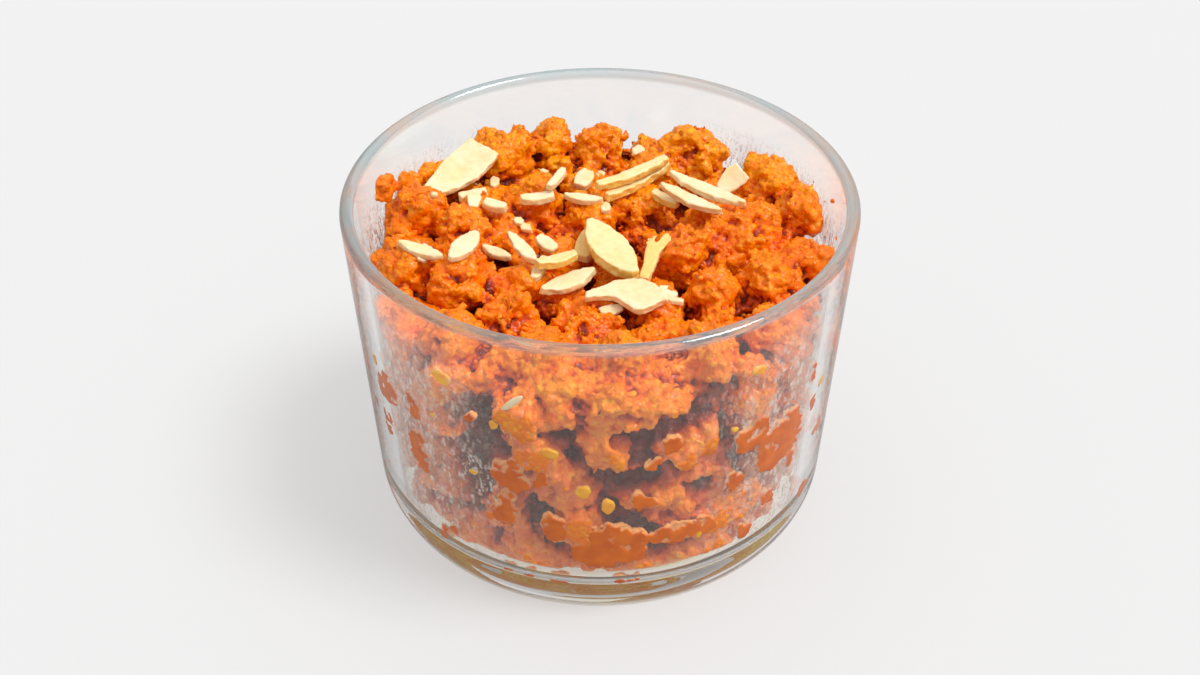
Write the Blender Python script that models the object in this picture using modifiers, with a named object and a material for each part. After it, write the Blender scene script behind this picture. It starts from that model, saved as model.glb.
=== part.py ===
"""A glass bowl of orange halwa topped with sliced almonds, in metres, +Z up.

The origin is on the bowl's axis, at the plane that its foot ring rests on.
"""
import math
import random

import bmesh
import bpy
from mathutils import Euler, Matrix, Vector
from mathutils.bvhtree import BVHTree

MM = 0.001

# Glass bowl
BOWL_HEIGHT = 65.5 * MM
RIM_RADIUS = 45.0 * MM
RIM_WALL = 2.4 * MM
OUTER_LEAN = math.radians(2.9)
CORNER_RADIUS = 11.8 * MM
CORNER_TURN = math.radians(65.0)
HEEL_RADIUS = 3.0 * MM
HEEL_RING = 34.2 * MM
FOOT_RING_WIDTH = 2.4 * MM
PUNT_RUN = 2.0 * MM
PUNT_DEPTH = 1.2 * MM
FLOOR_THICKNESS = 8.0 * MM
INNER_FOOT_RADIUS = 39.4 * MM
INNER_FILLET = 5.5 * MM
BOWL_SIDES = 64
FILLET_PIECES = 5
RIM_PIECES = 6
CORNER_PIECES = 5
HEEL_PIECES = 2
MERGE = 0.00001

# Halwa heap
GAP = 0.35 * MM
CORE_RADIUS = 36.0 * MM
CORE_TOP = 46.0 * MM
CORE_SHOULDER = 4.0 * MM
CORE_SINK = 1.0 * MM
FILL_LIMIT = 60.0 * MM
HEAP_FACES = 6200
HEAP_SEED = 11

# How the clumps vary: shares of their size, or lengths
ROUGHNESS = 0.17
STRETCH = ((0.90, 1.15), (0.85, 1.10), (0.85, 1.00))
ANGLE_JITTER = 0.25
WALL_JITTER = 1.6 * MM
WALL_SIZES = (0.82, 1.18)
WALL_INSET = (0.80, 1.10)
TOP_JITTER = 1.5 * MM
TOP_SIZES = (0.85, 1.15)
KNOBS_PER_PEAK = 2
KNOB_RISE = (-0.2, 0.7)
KNOB_REACH = 0.38
KNOB_SIZE = 0.48

# Rings of clumps that lie against the wall: height, how many, mean width
WALL_RINGS = (
    (13.0 * MM, 17, 13.0 * MM),
    (22.5 * MM, 17, 13.0 * MM),
    (31.5 * MM, 18, 12.5 * MM),
    (40.5 * MM, 18, 12.0 * MM),
    (47.5 * MM, 20, 10.5 * MM),
)

# Lower clumps across the top, between the peaks: ring radius, how many, mean width
TOP_RINGS = (
    (3.0 * MM, 2, 12.0 * MM),
    (14.0 * MM, 6, 12.0 * MM),
    (25.0 * MM, 11, 12.0 * MM),
    (33.5 * MM, 15, 10.5 * MM),
)
TOP_RING_HEIGHT = 46.5 * MM

# The clumps that stand out on top, in mm: x, y, height of the middle, width
PEAKS = (
    (-18.5, 29.5, 53.0, 10.5), (-9.0, 32.5, 50.5, 10.0), (0.0, 34.0, 52.0, 10.5),
    (17.5, 31.5, 53.5, 10.5), (10.5, 26.0, 52.5, 8.5), (32.0, 20.5, 52.5, 10.5),
    (37.0, 12.5, 52.0, 9.0), (26.5, 6.0, 51.0, 13.0), (15.5, 0.0, 52.0, 9.0),
    (36.5, -2.5, 51.5, 8.5), (29.5, -7.5, 50.5, 11.0), (20.0, -11.0, 50.0, 9.5),
    (9.5, -15.5, 49.5, 9.5), (-2.0, -17.5, 48.5, 11.5), (-15.5, -17.5, 50.0, 9.5),
    (-24.0, -10.0, 51.0, 11.5), (-14.0, -9.0, 50.0, 9.5), (-33.5, -5.5, 51.5, 10.0),
    (-34.0, 13.0, 51.5, 9.5), (-24.0, 7.0, 50.5, 11.0), (-13.0, 17.5, 50.0, 11.0),
    (-2.0, 12.5, 49.5, 9.5), (7.5, 16.0, 50.0, 9.5), (-8.0, -1.0, 49.0, 10.0),
    (3.5, -3.5, 49.0, 9.5), (-29.0, 24.5, 50.5, 9.0), (-10.0, -29.0, 50.0, 10.5),
    (4.0, -31.5, 50.0, 11.0), (18.0, -27.0, 50.0, 10.5), (-24.0, -24.5, 50.5, 10.5),
    (29.0, -20.5, 49.5, 10.0), (-22.0, 15.5, 48.5, 9.0), (-17.5, 9.0, 49.5, 8.5),
    (-9.5, 33.5, 55.0, 7.5), (-15.5, 31.0, 56.0, 6.5), (-21.0, 31.0, 55.5, 6.0),
)

# Chips too small to be pieces of their own, in mm: x, y, length, yaw in degrees
CHIPS = (
    (-20.0, 22.0, 3.0, 17), (-23.0, 10.5, 4.0, 32), (0.0, 25.0, 3.2, -53),
    (7.5, 33.5, 4.0, -31), (9.0, 22.5, 3.0, 28), (-13.5, 7.5, 3.8, 20),
    (1.0, 12.0, 4.0, -30), (11.5, -14.5, 3.2, -47), (-30.5, -6.5, 4.0, 14),
)
CHIP_WIDTH = 2.0 * MM
CHIP_THICKNESS = 1.3 * MM
CHIP_RISE = 0.1

# Almond pieces in the order that they lie on each other. Each has its middle
# (x, y), length, width and thickness in mm, its yaw, how far its far end rises
# and how far its face turns towards -Y in degrees, and the form of its outline.
ALMONDS = (
    ("almond_slice_back", -26.5, 20.5, 15.0, 8.0, 1.3, 51, 0, 14, "broken"),
    ("almond_chunk_a", -23.5, 15.5, 5.5, 2.2, 1.6, 20, 0, 5, "stick"),
    ("almond_chunk_b", -19.0, 9.5, 4.5, 2.2, 1.6, -23, 0, 5, "stick"),
    ("almond_sliver_a", -11.5, 12.5, 6.5, 2.6, 1.4, 12, 0, 0, "stick"),
    ("almond_sliver_b", -8.0, 15.5, 6.0, 1.8, 1.3, 62, 0, 8, "stick"),
    ("almond_chunk_c", -3.0, 22.5, 4.5, 3.4, 1.5, 67, 0, 15, "stick"),
    ("almond_lens_a", -3.0, 13.0, 7.5, 2.2, 1.3, -11, 0, 8, "leaf"),
    ("almond_sliver_d", 7.0, 18.5, 15.0, 2.2, 1.6, 38, 6, 0, "stick"),
    ("almond_sliver_c", 6.0, 18.5, 15.0, 2.4, 1.5, 30, 5, 0, "stick"),
    ("almond_sliver_e", 12.0, 13.5, 6.0, 2.2, 1.4, -43, 0, 0, "stick"),
    ("almond_slice_b", 16.5, 9.5, 13.5, 2.6, 1.3, -35, 0, 8, "leaf"),
    ("almond_slice_c", 19.5, 11.0, 16.0, 2.8, 1.3, -33, 0, 8, "leaf"),
    ("almond_flake", 24.5, 19.5, 6.0, 4.2, 0.8, 39, 0, 45, "broken"),
    ("almond_slice_d", -31.0, -7.0, 9.0, 2.6, 1.2, -26, 0, 5, "leaf"),
    ("almond_slice_e", -23.5, -8.0, 7.5, 4.0, 1.3, 53, 0, 15, "leaf"),
    ("almond_sliver_f", -18.5, 0.5, 6.5, 2.4, 1.3, -35, 0, 0, "leaf"),
    ("almond_slice_f", -9.5, -1.5, 4.5, 2.4, 1.4, -45, 0, 12, "stick"),
    ("almond_sliver_g", -10.5, -9.0, 5.5, 2.0, 1.4, 69, 0, 12, "stick"),
    ("almond_slice_g", -13.5, -6.0, 8.5, 2.4, 1.4, -53, 0, 12, "leaf"),
    ("almond_sliver_h", -7.5, -9.0, 7.5, 2.4, 1.5, 24, 0, 0, "stick"),
    ("almond_wedge", -2.5, -0.5, 6.5, 3.8, 1.8, 75, 0, 15, "stick"),
    ("almond_fork", 9.0, -5.5, 11.5, 4.2, 1.6, 75, 0, 15, "fork"),
    ("almond_half", 2.0, -5.5, 16.0, 6.6, 2.2, -59, 0, 8, "leaf"),
    ("almond_lens_b", -5.5, -11.0, 11.0, 3.8, 1.4, 31, 0, 5, "leaf"),
    ("almond_hook", 4.5, -17.5, 14.0, 5.6, 1.4, -2, 0, 8, "hook"),
)
ALMOND_GAP = 0.3 * MM
LIFT_STEP = 0.1 * MM
CURL = 0.05
HOOK_BEND = 2.4 * MM
FORK_NOTCH = 0.32
ALMOND_SEGMENTS = 6

GLASS_COLOUR = (0.86, 0.90, 0.89, 1.0)
HALWA_COLOUR = (0.87, 0.22, 0.010, 1.0)
ALMOND_COLOUR = (0.95, 0.82, 0.50, 1.0)


def clear_scene():
    for old in list(bpy.data.objects):
        bpy.data.objects.remove(old, do_unlink=True)


def new_collection(name):
    collection = bpy.data.collections.new(name)
    bpy.context.scene.collection.children.link(collection)
    return collection


def make_material(name, colour, roughness, transmission=0.0):
    material = bpy.data.materials.new(name)
    material.use_nodes = True
    shader = material.node_tree.nodes["Principled BSDF"]
    shader.inputs["Base Color"].default_value = colour
    shader.inputs["Roughness"].default_value = roughness
    shader.inputs["Metallic"].default_value = 0.0
    shader.inputs["Transmission Weight"].default_value = transmission
    return material


def link_mesh(name, mesh, collection):
    made = bpy.data.objects.new(name, mesh)
    collection.objects.link(made)
    return made


def mesh_from(name, shape):
    mesh = bpy.data.meshes.new(name)
    shape.to_mesh(mesh)
    shape.free()
    return mesh


def apply_modifiers(made):
    graph = bpy.context.evaluated_depsgraph_get()
    mesh = bpy.data.meshes.new_from_object(made.evaluated_get(graph))
    made.modifiers.clear()
    old = made.data
    made.data = mesh
    bpy.data.meshes.remove(old)


def arc(centre_r, centre_z, radius, start, end, pieces):
    """Points of an arc in the profile's plane, both ends included."""
    points = []
    for step in range(pieces + 1):
        angle = start + (end - start) * step / pieces
        points.append((centre_r + radius * math.cos(angle), centre_z + radius * math.sin(angle)))
    return points


def turned(name, profile, collection):
    """A profile at +X that runs down its outer side, turned about Z."""
    shape = bmesh.new()
    corners = [shape.verts.new((r, 0.0, z)) for r, z in profile]
    for first, second in zip(corners, corners[1:]):
        shape.edges.new((first, second))
    made = link_mesh(name, mesh_from(name, shape), collection)
    screw = made.modifiers.new("Turn", "SCREW")
    screw.axis = "Z"
    screw.angle = math.tau
    screw.steps = BOWL_SIDES
    screw.render_steps = BOWL_SIDES
    screw.use_merge_vertices = True
    screw.merge_threshold = MERGE
    screw.use_smooth_shade = True
    return made


def inner_lean():
    rim_z = BOWL_HEIGHT - RIM_WALL / 2
    rise = rim_z - FLOOR_THICKNESS - INNER_FILLET
    return math.atan2(RIM_RADIUS - RIM_WALL - INNER_FOOT_RADIUS, rise)


def inner_radius(z):
    """Radius of the bowl's inside at a height above the fillet."""
    rim_z = BOWL_HEIGHT - RIM_WALL / 2
    return RIM_RADIUS - RIM_WALL - (rim_z - z) * math.tan(inner_lean())


def inner_outline(gap):
    """The bowl's inside from the axis up to the rim, moved inwards by the gap."""
    fillet_r = INNER_FOOT_RADIUS - INNER_FILLET
    fillet_z = FLOOR_THICKNESS + INNER_FILLET
    points = [(0.0, FLOOR_THICKNESS + gap)]
    points += arc(fillet_r, fillet_z, INNER_FILLET - gap, math.radians(-90.0), -inner_lean(),
                  FILLET_PIECES)
    points.append((RIM_RADIUS - RIM_WALL - gap, BOWL_HEIGHT - RIM_WALL / 2))
    return points


def bowl_profile():
    half_rim = RIM_WALL / 2
    rim_r = RIM_RADIUS - half_rim
    corner_step = CORNER_RADIUS - HEEL_RADIUS
    corner_r = HEEL_RING - corner_step * math.cos(CORNER_TURN)
    corner_z = HEEL_RADIUS + corner_step * math.sin(CORNER_TURN)
    profile = inner_outline(0.0)[:-1]
    profile += arc(rim_r, BOWL_HEIGHT - half_rim, half_rim, math.pi, 0.0, RIM_PIECES)
    profile += arc(corner_r, corner_z, CORNER_RADIUS, -OUTER_LEAN, -CORNER_TURN, CORNER_PIECES)
    heel = arc(HEEL_RING, HEEL_RADIUS, HEEL_RADIUS, -CORNER_TURN, math.radians(-90.0), HEEL_PIECES)
    profile += heel[1:]
    foot_r = HEEL_RING - FOOT_RING_WIDTH
    profile += [(foot_r, 0.0), (foot_r - PUNT_RUN, PUNT_DEPTH), (0.0, PUNT_DEPTH)]
    return profile


def make_bowl(collection, material):
    bowl = turned("glass_bowl", bowl_profile(), collection)
    bowl.data.materials.append(material)
    return bowl


def make_lump(name, centre, width, subdivisions, dice, collection):
    """One uneven lump: a small sphere of few sides, roughened and squashed."""
    shape = bmesh.new()
    bmesh.ops.create_icosphere(shape, subdivisions=subdivisions, radius=width / 2)
    stretch = Vector([dice.uniform(*shares) for shares in STRETCH])
    turn = Euler([dice.uniform(0.0, math.tau) for _ in range(3)]).to_matrix()
    for corner in shape.verts:
        rough = 1.0 + dice.uniform(-ROUGHNESS, ROUGHNESS)
        corner.co = Vector(centre) + turn @ (corner.co * rough * stretch)
    return link_mesh(name, mesh_from(name, shape), collection)


def make_core(collection):
    profile = [
        (0.0, CORE_TOP),
        (CORE_RADIUS - 2 * CORE_SHOULDER, CORE_TOP),
        (CORE_RADIUS, CORE_TOP - CORE_SHOULDER),
        (CORE_RADIUS, FLOOR_THICKNESS + CORE_SHOULDER),
        (CORE_RADIUS - CORE_SHOULDER, FLOOR_THICKNESS - CORE_SINK),
        (0.0, FLOOR_THICKNESS - CORE_SINK),
    ]
    core = turned("halwa", profile, collection)
    apply_modifiers(core)
    return core


def add_wall_clumps(dice, clumps):
    for ring, (height, count, width) in enumerate(WALL_RINGS):
        for place in range(count):
            turn = place + 0.5 * (ring % 2) + dice.uniform(-ANGLE_JITTER, ANGLE_JITTER)
            angle = math.tau * turn / count
            z = height + dice.uniform(-WALL_JITTER, WALL_JITTER)
            size = width * dice.uniform(*WALL_SIZES)
            reach = inner_radius(z) - size / 2 * dice.uniform(*WALL_INSET)
            middle = (reach * math.cos(angle), reach * math.sin(angle), z)
            make_lump(f"wall_clump_{ring}_{place}", middle, size, 2, dice, clumps)


def add_top_clumps(dice, clumps):
    for ring, (radius, count, width) in enumerate(TOP_RINGS):
        for place in range(count):
            angle = math.tau * (place + dice.uniform(-ANGLE_JITTER, ANGLE_JITTER)) / count
            reach = radius + dice.uniform(-TOP_JITTER, TOP_JITTER)
            z = TOP_RING_HEIGHT + dice.uniform(-TOP_JITTER, TOP_JITTER)
            size = width * dice.uniform(*TOP_SIZES)
            middle = (reach * math.cos(angle), reach * math.sin(angle), z)
            make_lump(f"top_clump_{ring}_{place}", middle, size, 2, dice, clumps)


def add_peaks(dice, clumps):
    for place, (x, y, z, width) in enumerate(PEAKS):
        middle = Vector((x, y, z)) * MM
        size = width * MM
        make_lump(f"peak_{place}", middle, size, 2, dice, clumps)
        for knob in range(KNOBS_PER_PEAK):
            angle = dice.uniform(0.0, math.tau)
            out = Vector((math.cos(angle), math.sin(angle), dice.uniform(*KNOB_RISE)))
            spot = middle + out.normalized() * size * KNOB_REACH
            make_lump(f"peak_{place}_knob_{knob}", spot, size * KNOB_SIZE, 1, dice, clumps)


def joined_tree(things):
    """One search tree over the faces of several objects."""
    corners = []
    faces = []
    for thing in things:
        start = len(corners)
        corners += [thing.matrix_world @ corner.co for corner in thing.data.vertices]
        faces += [[start + i for i in face.vertices] for face in thing.data.polygons]
    return BVHTree.FromPolygons(corners, faces)


def height_at(trees, x, y):
    """The highest surface straight below a point well above the heap."""
    best = None
    for tree in trees:
        hit = tree.ray_cast(Vector((x, y, BOWL_HEIGHT * 2)), Vector((0.0, 0.0, -1.0)))[0]
        if hit is not None and (best is None or hit.z > best):
            best = hit.z
    return CORE_TOP if best is None else best


def add_chips(core, clumps):
    """Small almond chips, half sunk so that they fuse to the heap."""
    tree = joined_tree([core] + list(clumps.objects))
    for place, (x, y, length, yaw) in enumerate(CHIPS):
        top = height_at([tree], x * MM, y * MM)
        shape = bmesh.new()
        bmesh.ops.create_cube(shape, size=1.0)
        size = Matrix.Diagonal((length * MM, CHIP_WIDTH, CHIP_THICKNESS, 1.0))
        turn = Matrix.Rotation(math.radians(yaw), 4, "Z")
        spot = Matrix.Translation((x * MM, y * MM, top + CHIP_RISE * CHIP_THICKNESS))
        bmesh.ops.transform(shape, matrix=spot @ turn @ size, verts=shape.verts)
        name = f"chip_{place}"
        link_mesh(name, mesh_from(name, shape), clumps)


def keep_largest_body(mesh):
    """Fills sealed hollows and drops loose scraps: only the largest shell stays."""
    shape = bmesh.new()
    shape.from_mesh(mesh)
    bmesh.ops.remove_doubles(shape, verts=shape.verts, dist=MERGE)
    bmesh.ops.dissolve_degenerate(shape, dist=MERGE, edges=shape.edges)
    bmesh.ops.triangulate(shape, faces=shape.faces)
    left = set(shape.verts)
    shells = []
    while left:
        shell = {left.pop()}
        front = list(shell)
        while front:
            corner = front.pop()
            for edge in corner.link_edges:
                other = edge.other_vert(corner)
                if other in left:
                    left.remove(other)
                    shell.add(other)
                    front.append(other)
        shells.append(shell)
    shells.sort(key=len, reverse=True)
    for shell in shells[1:]:
        bmesh.ops.delete(shape, geom=list(shell), context="VERTS")
    shape.to_mesh(mesh)
    shape.free()


def make_heap(parts, guides, material):
    dice = random.Random(HEAP_SEED)
    clumps = new_collection("halwa_clumps")
    heap = make_core(parts)
    add_wall_clumps(dice, clumps)
    add_top_clumps(dice, clumps)
    add_peaks(dice, clumps)
    add_chips(heap, clumps)
    union = heap.modifiers.new("Fuse clumps", "BOOLEAN")
    union.operation = "UNION"
    union.operand_type = "COLLECTION"
    union.collection = clumps
    union.solver = "EXACT"
    apply_modifiers(heap)
    for clump in list(clumps.objects):
        bpy.data.objects.remove(clump, do_unlink=True)
    bpy.data.collections.remove(clumps)
    keep_largest_body(heap.data)
    thin = heap.modifiers.new("Fewer faces", "DECIMATE")
    thin.ratio = HEAP_FACES / len(heap.data.polygons)
    apply_modifiers(heap)

    outline = inner_outline(GAP)[:-1]
    outline.append((inner_radius(FILL_LIMIT) - GAP, FILL_LIMIT))
    outline.append((0.0, FILL_LIMIT))
    space = turned("filling_space", outline[::-1], guides)
    space.display_type = "WIRE"
    space.hide_render = True
    clip = heap.modifiers.new("Keep inside the glass", "BOOLEAN")
    clip.operation = "INTERSECT"
    clip.object = space
    clip.solver = "EXACT"
    apply_modifiers(heap)
    keep_largest_body(heap.data)
    heap.data.materials.clear()
    heap.data.materials.append(material)
    return heap


def half_width(form, along):
    """Half of an almond piece's width, as a share of its largest, from end to end."""
    if form == "leaf":
        return 0.20 + 0.80 * math.sin(math.pi * along) ** 0.8
    if form == "hook":
        return 0.26 + 0.74 * math.sin(math.pi * along ** 1.7) ** 0.8
    if form == "broken":
        return 0.30 + 0.70 * math.sin(math.pi * (0.06 + 0.62 * along))
    if form == "fork":
        return 0.45 + 0.55 * along ** 2
    return 0.62 + 0.38 * math.sin(math.pi * along) ** 0.6


def almond_shape(length, width, thickness, form):
    """A flat grid bent to the piece's outline and given its thickness."""
    shape = bmesh.new()
    across = 1 if form == "stick" else 2
    bmesh.ops.create_grid(shape, x_segments=ALMOND_SEGMENTS, y_segments=across, size=0.5)
    for corner in shape.verts:
        along = corner.co.x + 0.5
        side = corner.co.y * 2
        bend = HOOK_BEND * math.sin(math.pi * along) if form == "hook" else 0.0
        x = (along - 0.5) * length
        if form == "fork" and along > 0.99 and abs(side) < 0.5:
            x -= FORK_NOTCH * length
        y = side * half_width(form, along) * width / 2 + bend
        z = CURL * length * (2 * along - 1) ** 2 - thickness / 2
        corner.co = Vector((x, y, z))
    bmesh.ops.recalc_face_normals(shape, faces=shape.faces)
    return mesh_from("almond", shape)


def world_faces(piece):
    """Corners and faces of a piece as its modifiers leave it."""
    bpy.context.view_layer.update()
    graph = bpy.context.evaluated_depsgraph_get()
    mesh = bpy.data.meshes.new_from_object(piece.evaluated_get(graph))
    corners = [piece.matrix_world @ corner.co for corner in mesh.vertices]
    faces = [list(face.vertices) for face in mesh.polygons]
    bpy.data.meshes.remove(mesh)
    return corners, faces


def lay_down(piece, below, start):
    """Finds the lowest height at which a piece clears what lies below it."""
    piece.location.z = start
    corners, faces = world_faces(piece)
    lift = 0.0
    while True:
        moved = [corner + Vector((0.0, 0.0, lift)) for corner in corners]
        tree = BVHTree.FromPolygons(moved, faces)
        if not any(tree.overlap(other) for other in below):
            break
        lift += LIFT_STEP
    lift += ALMOND_GAP
    piece.location.z = start + lift
    moved = [corner + Vector((0.0, 0.0, lift)) for corner in corners]
    return BVHTree.FromPolygons(moved, faces)


def make_almonds(heap, parts, material):
    below = [joined_tree([heap])]
    for name, x, y, length, width, thickness, yaw, rise, face, form in ALMONDS:
        mesh = almond_shape(length * MM, width * MM, thickness * MM, form)
        mesh.materials.append(material)
        piece = link_mesh(name, mesh, parts)
        solidify = piece.modifiers.new("Thickness", "SOLIDIFY")
        solidify.thickness = thickness * MM
        solidify.offset = 0.0
        turn = Matrix.Rotation(math.radians(face), 3, "X")
        turn = turn @ Matrix.Rotation(math.radians(yaw), 3, "Z")
        turn = turn @ Matrix.Rotation(-math.radians(rise), 3, "Y")
        piece.rotation_euler = turn.to_euler()
        piece.location = (x * MM, y * MM, 0.0)
        middle = height_at(below, x * MM, y * MM)
        below.append(lay_down(piece, below, middle))


def main():
    clear_scene()
    parts = new_collection("halwa_in_glass_bowl")
    guides = new_collection("guides")
    glass = make_material("clear_glass", GLASS_COLOUR, 0.05, 1.0)
    halwa = make_material("orange_halwa", HALWA_COLOUR, 0.45)
    almond = make_material("almond", ALMOND_COLOUR, 0.50)
    make_bowl(parts, glass)
    heap = make_heap(parts, guides, halwa)
    make_almonds(heap, parts, almond)


main()
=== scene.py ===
# Orange halwa in a clear glass bowl, topped with sliced almonds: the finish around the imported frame.
import math
import random

import bpy
import numpy as np
from mathutils import Matrix, Vector, noise
from mathutils.bvhtree import BVHTree


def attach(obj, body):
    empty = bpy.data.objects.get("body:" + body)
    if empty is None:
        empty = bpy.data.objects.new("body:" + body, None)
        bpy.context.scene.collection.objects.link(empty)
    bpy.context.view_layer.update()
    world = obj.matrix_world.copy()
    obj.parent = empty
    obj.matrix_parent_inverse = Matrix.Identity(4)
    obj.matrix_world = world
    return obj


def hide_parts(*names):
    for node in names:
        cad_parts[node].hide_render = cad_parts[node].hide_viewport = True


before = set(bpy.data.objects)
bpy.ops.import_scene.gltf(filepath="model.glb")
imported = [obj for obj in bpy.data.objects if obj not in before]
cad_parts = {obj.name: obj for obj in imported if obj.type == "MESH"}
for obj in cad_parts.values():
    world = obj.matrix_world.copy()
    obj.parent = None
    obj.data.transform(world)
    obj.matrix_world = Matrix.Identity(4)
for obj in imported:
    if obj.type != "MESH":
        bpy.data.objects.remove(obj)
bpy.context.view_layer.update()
mm = 0.001


# small helpers that every piece uses

def deselectAll():
    active = bpy.context.view_layer.objects.active
    if active and active.mode != "OBJECT":
        bpy.ops.object.mode_set(mode="OBJECT")
    bpy.ops.object.select_all(action="DESELECT")


def pick(piece):
    deselectAll()
    piece.select_set(True)
    bpy.context.view_layer.objects.active = piece


def applyAll(piece):
    pick(piece)
    for modifier in list(piece.modifiers):
        bpy.ops.object.modifier_apply(modifier=modifier.name)


def placeInMesh(piece):
    pick(piece)
    bpy.ops.object.transform_apply(location=True, rotation=True, scale=True)


def joined(pieces, name):
    deselectAll()
    for piece in pieces:
        piece.select_set(True)
    bpy.context.view_layer.objects.active = pieces[0]
    bpy.ops.object.join()
    pieces[0].name = name
    placeInMesh(pieces[0])
    return pieces[0]


def remove(*pieces):
    for piece in pieces:
        bpy.data.objects.remove(piece, do_unlink=True)


def copyOfNode(node, name):
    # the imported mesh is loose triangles, so the copy is merged
    piece = bpy.data.objects.new(name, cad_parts[node].data.copy())
    bpy.context.scene.collection.objects.link(piece)
    piece.data.name = name
    piece.data.materials.clear()
    pick(piece)
    bpy.ops.object.mode_set(mode="EDIT")
    bpy.ops.mesh.select_all(action="SELECT")
    bpy.ops.mesh.remove_doubles(threshold=0.005 * mm)
    bpy.ops.object.mode_set(mode="OBJECT")
    bpy.ops.mesh.customdata_custom_splitnormals_clear()
    return piece


def dress(piece, material, slot, *nodes):
    pick(piece)
    bpy.ops.object.shade_smooth()
    piece.data.materials.clear()
    piece.data.materials.append(material)
    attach(piece, "root")
    if nodes:
        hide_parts(*nodes)


def cornersOf(piece):
    places = np.empty(len(piece.data.vertices) * 3)
    piece.data.vertices.foreach_get("co", places)
    return places.reshape(-1, 3)


def setCorners(piece, places):
    piece.data.vertices.foreach_set("co", places.ravel())
    piece.data.update()


def twinOf(piece, name):
    twin = piece.copy()
    twin.data = piece.data.copy()
    twin.name = name
    bpy.context.scene.collection.objects.link(twin)
    return twin


def markCorners(piece, name, values):
    piece.data.attributes.new(name, "FLOAT", "POINT").data.foreach_set("value", values)


def treeOf(*pieces):
    corners = []
    faces = []
    for piece in pieces:
        start = len(corners)
        corners += [corner.co.copy() for corner in piece.data.vertices]
        faces += [[start + i for i in face.vertices] for face in piece.data.polygons]
    return BVHTree.FromPolygons(corners, faces)


def relief(piece, kind, grain, depth, middle=0.5, group=""):
    texture = bpy.data.textures.new(kind.lower() + "Relief", kind)
    texture.noise_scale = grain
    if kind == "VORONOI":
        texture.distance_metric = "DISTANCE_SQUARED"
    modifier = piece.modifiers.new("relief", "DISPLACE")
    modifier.texture = texture
    modifier.texture_coords = "LOCAL"
    modifier.strength = depth
    modifier.mid_level = middle
    modifier.vertex_group = group


def soften(piece, factor, rounds):
    modifier = piece.modifiers.new("soft", "SMOOTH")
    modifier.factor = factor
    modifier.iterations = rounds


def voxelRemesh(piece, size):
    modifier = piece.modifiers.new("remesh", "REMESH")
    modifier.mode = "VOXEL"
    modifier.voxel_size = size


# materials are small node trees, so a node and its links take one line each

def newMaterial(name):
    # also gives where a point lies in the piece's own coordinates
    material = bpy.data.materials.new(name)
    material.use_nodes = True
    tree = material.node_tree
    where = addNode(tree, "ShaderNodeTexCoord").outputs["Object"]
    return material, tree, tree.nodes["Principled BSDF"], where


def addNode(tree, kind, **settings):
    node = tree.nodes.new(kind)
    for setting, value in settings.items():
        setattr(node, setting, value)
    return node


def setInputs(node, **values):
    for name, value in values.items():
        node.inputs[name.replace("_", " ")].default_value = value


def ramp(tree, source, *stops):
    node = addNode(tree, "ShaderNodeValToRGB")
    elements = node.color_ramp.elements
    while len(elements) < len(stops):
        elements.new(0.5)
    for element, (place, colour) in zip(elements, stops):
        element.position = place
        element.color = colour
    tree.links.new(source, node.inputs["Fac"])
    return node.outputs["Color"]


def feed(tree, node, values):
    # each socket gets a link or a plain value
    for place, value in values.items():
        if isinstance(value, bpy.types.NodeSocket):
            tree.links.new(value, node.inputs[place])
        else:
            node.inputs[place].default_value = value


def mixed(tree, factor, first, second, blend="MIX"):
    node = addNode(tree, "ShaderNodeMix", data_type="RGBA", blend_type=blend)
    feed(tree, node, {0: factor, 6: first, 7: second})
    return node.outputs[2]


def mixedShaders(tree, factor, first, second):
    node = addNode(tree, "ShaderNodeMixShader")
    feed(tree, node, {0: factor, 1: first, 2: second})
    return node.outputs[0]


def combined(tree, operation, first, second):
    node = addNode(tree, "ShaderNodeMath", operation=operation)
    feed(tree, node, {0: first, 1: second})
    return node.outputs[0]


def ranged(tree, source, *ends, smooth=True):
    # a value from the first two ends goes over to the last two, which are 0 and 1 unless given
    node = addNode(tree, "ShaderNodeMapRange", interpolation_type="SMOOTHSTEP" if smooth else "LINEAR")
    feed(tree, node, {0: source, **dict(enumerate(ends, 1))})
    return node.outputs[0]


def distanceFrom(tree, where, point=(0.0, 0.0, 0.0)):
    node = addNode(tree, "ShaderNodeVectorMath", operation="DISTANCE")
    feed(tree, node, {0: where, 1: point})
    return node.outputs["Value"]


def channels(tree, source, kind="ShaderNodeSeparateXYZ", **settings):
    node = addNode(tree, kind, **settings)
    tree.links.new(source, node.inputs[0])
    return node.outputs


def noiseAt(tree, where, scale, detail=3.0, roughness=0.55, output="Fac"):
    node = addNode(tree, "ShaderNodeTexNoise")
    feed(tree, node, {"Vector": where, "Scale": scale, "Detail": detail, "Roughness": roughness})
    return node.outputs[output]


def attributeOf(tree, name):
    return addNode(tree, "ShaderNodeAttribute", attribute_name=name).outputs["Fac"]


def bentCells(tree, where, carried, scale, detail, reach, cellScale):
    # small cells in coordinates that a fine noise bends
    node = addNode(tree, "ShaderNodeVectorMath", operation="MULTIPLY_ADD")
    bend = noiseAt(tree, where, scale, detail, output="Color")
    feed(tree, node, {0: bend, 1: (reach,) * 3, 2: carried})
    cells = addNode(tree, "ShaderNodeTexVoronoi")
    feed(tree, cells, {"Vector": node.outputs[0], "Scale": cellScale})
    return cells.outputs, node.outputs[0]


def bump(tree, shader, height, strength, distance, previous=None):
    node = addNode(tree, "ShaderNodeBump")
    setInputs(node, Strength=strength, Distance=distance)
    tree.links.new(height, node.inputs["Height"])
    if previous:
        tree.links.new(previous, node.inputs["Normal"])
    tree.links.new(node.outputs["Normal"], shader.inputs["Normal"])
    return node.outputs["Normal"]


def grey(value):
    return (value, value, value, 1.0)


# camera, floor and light

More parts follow.
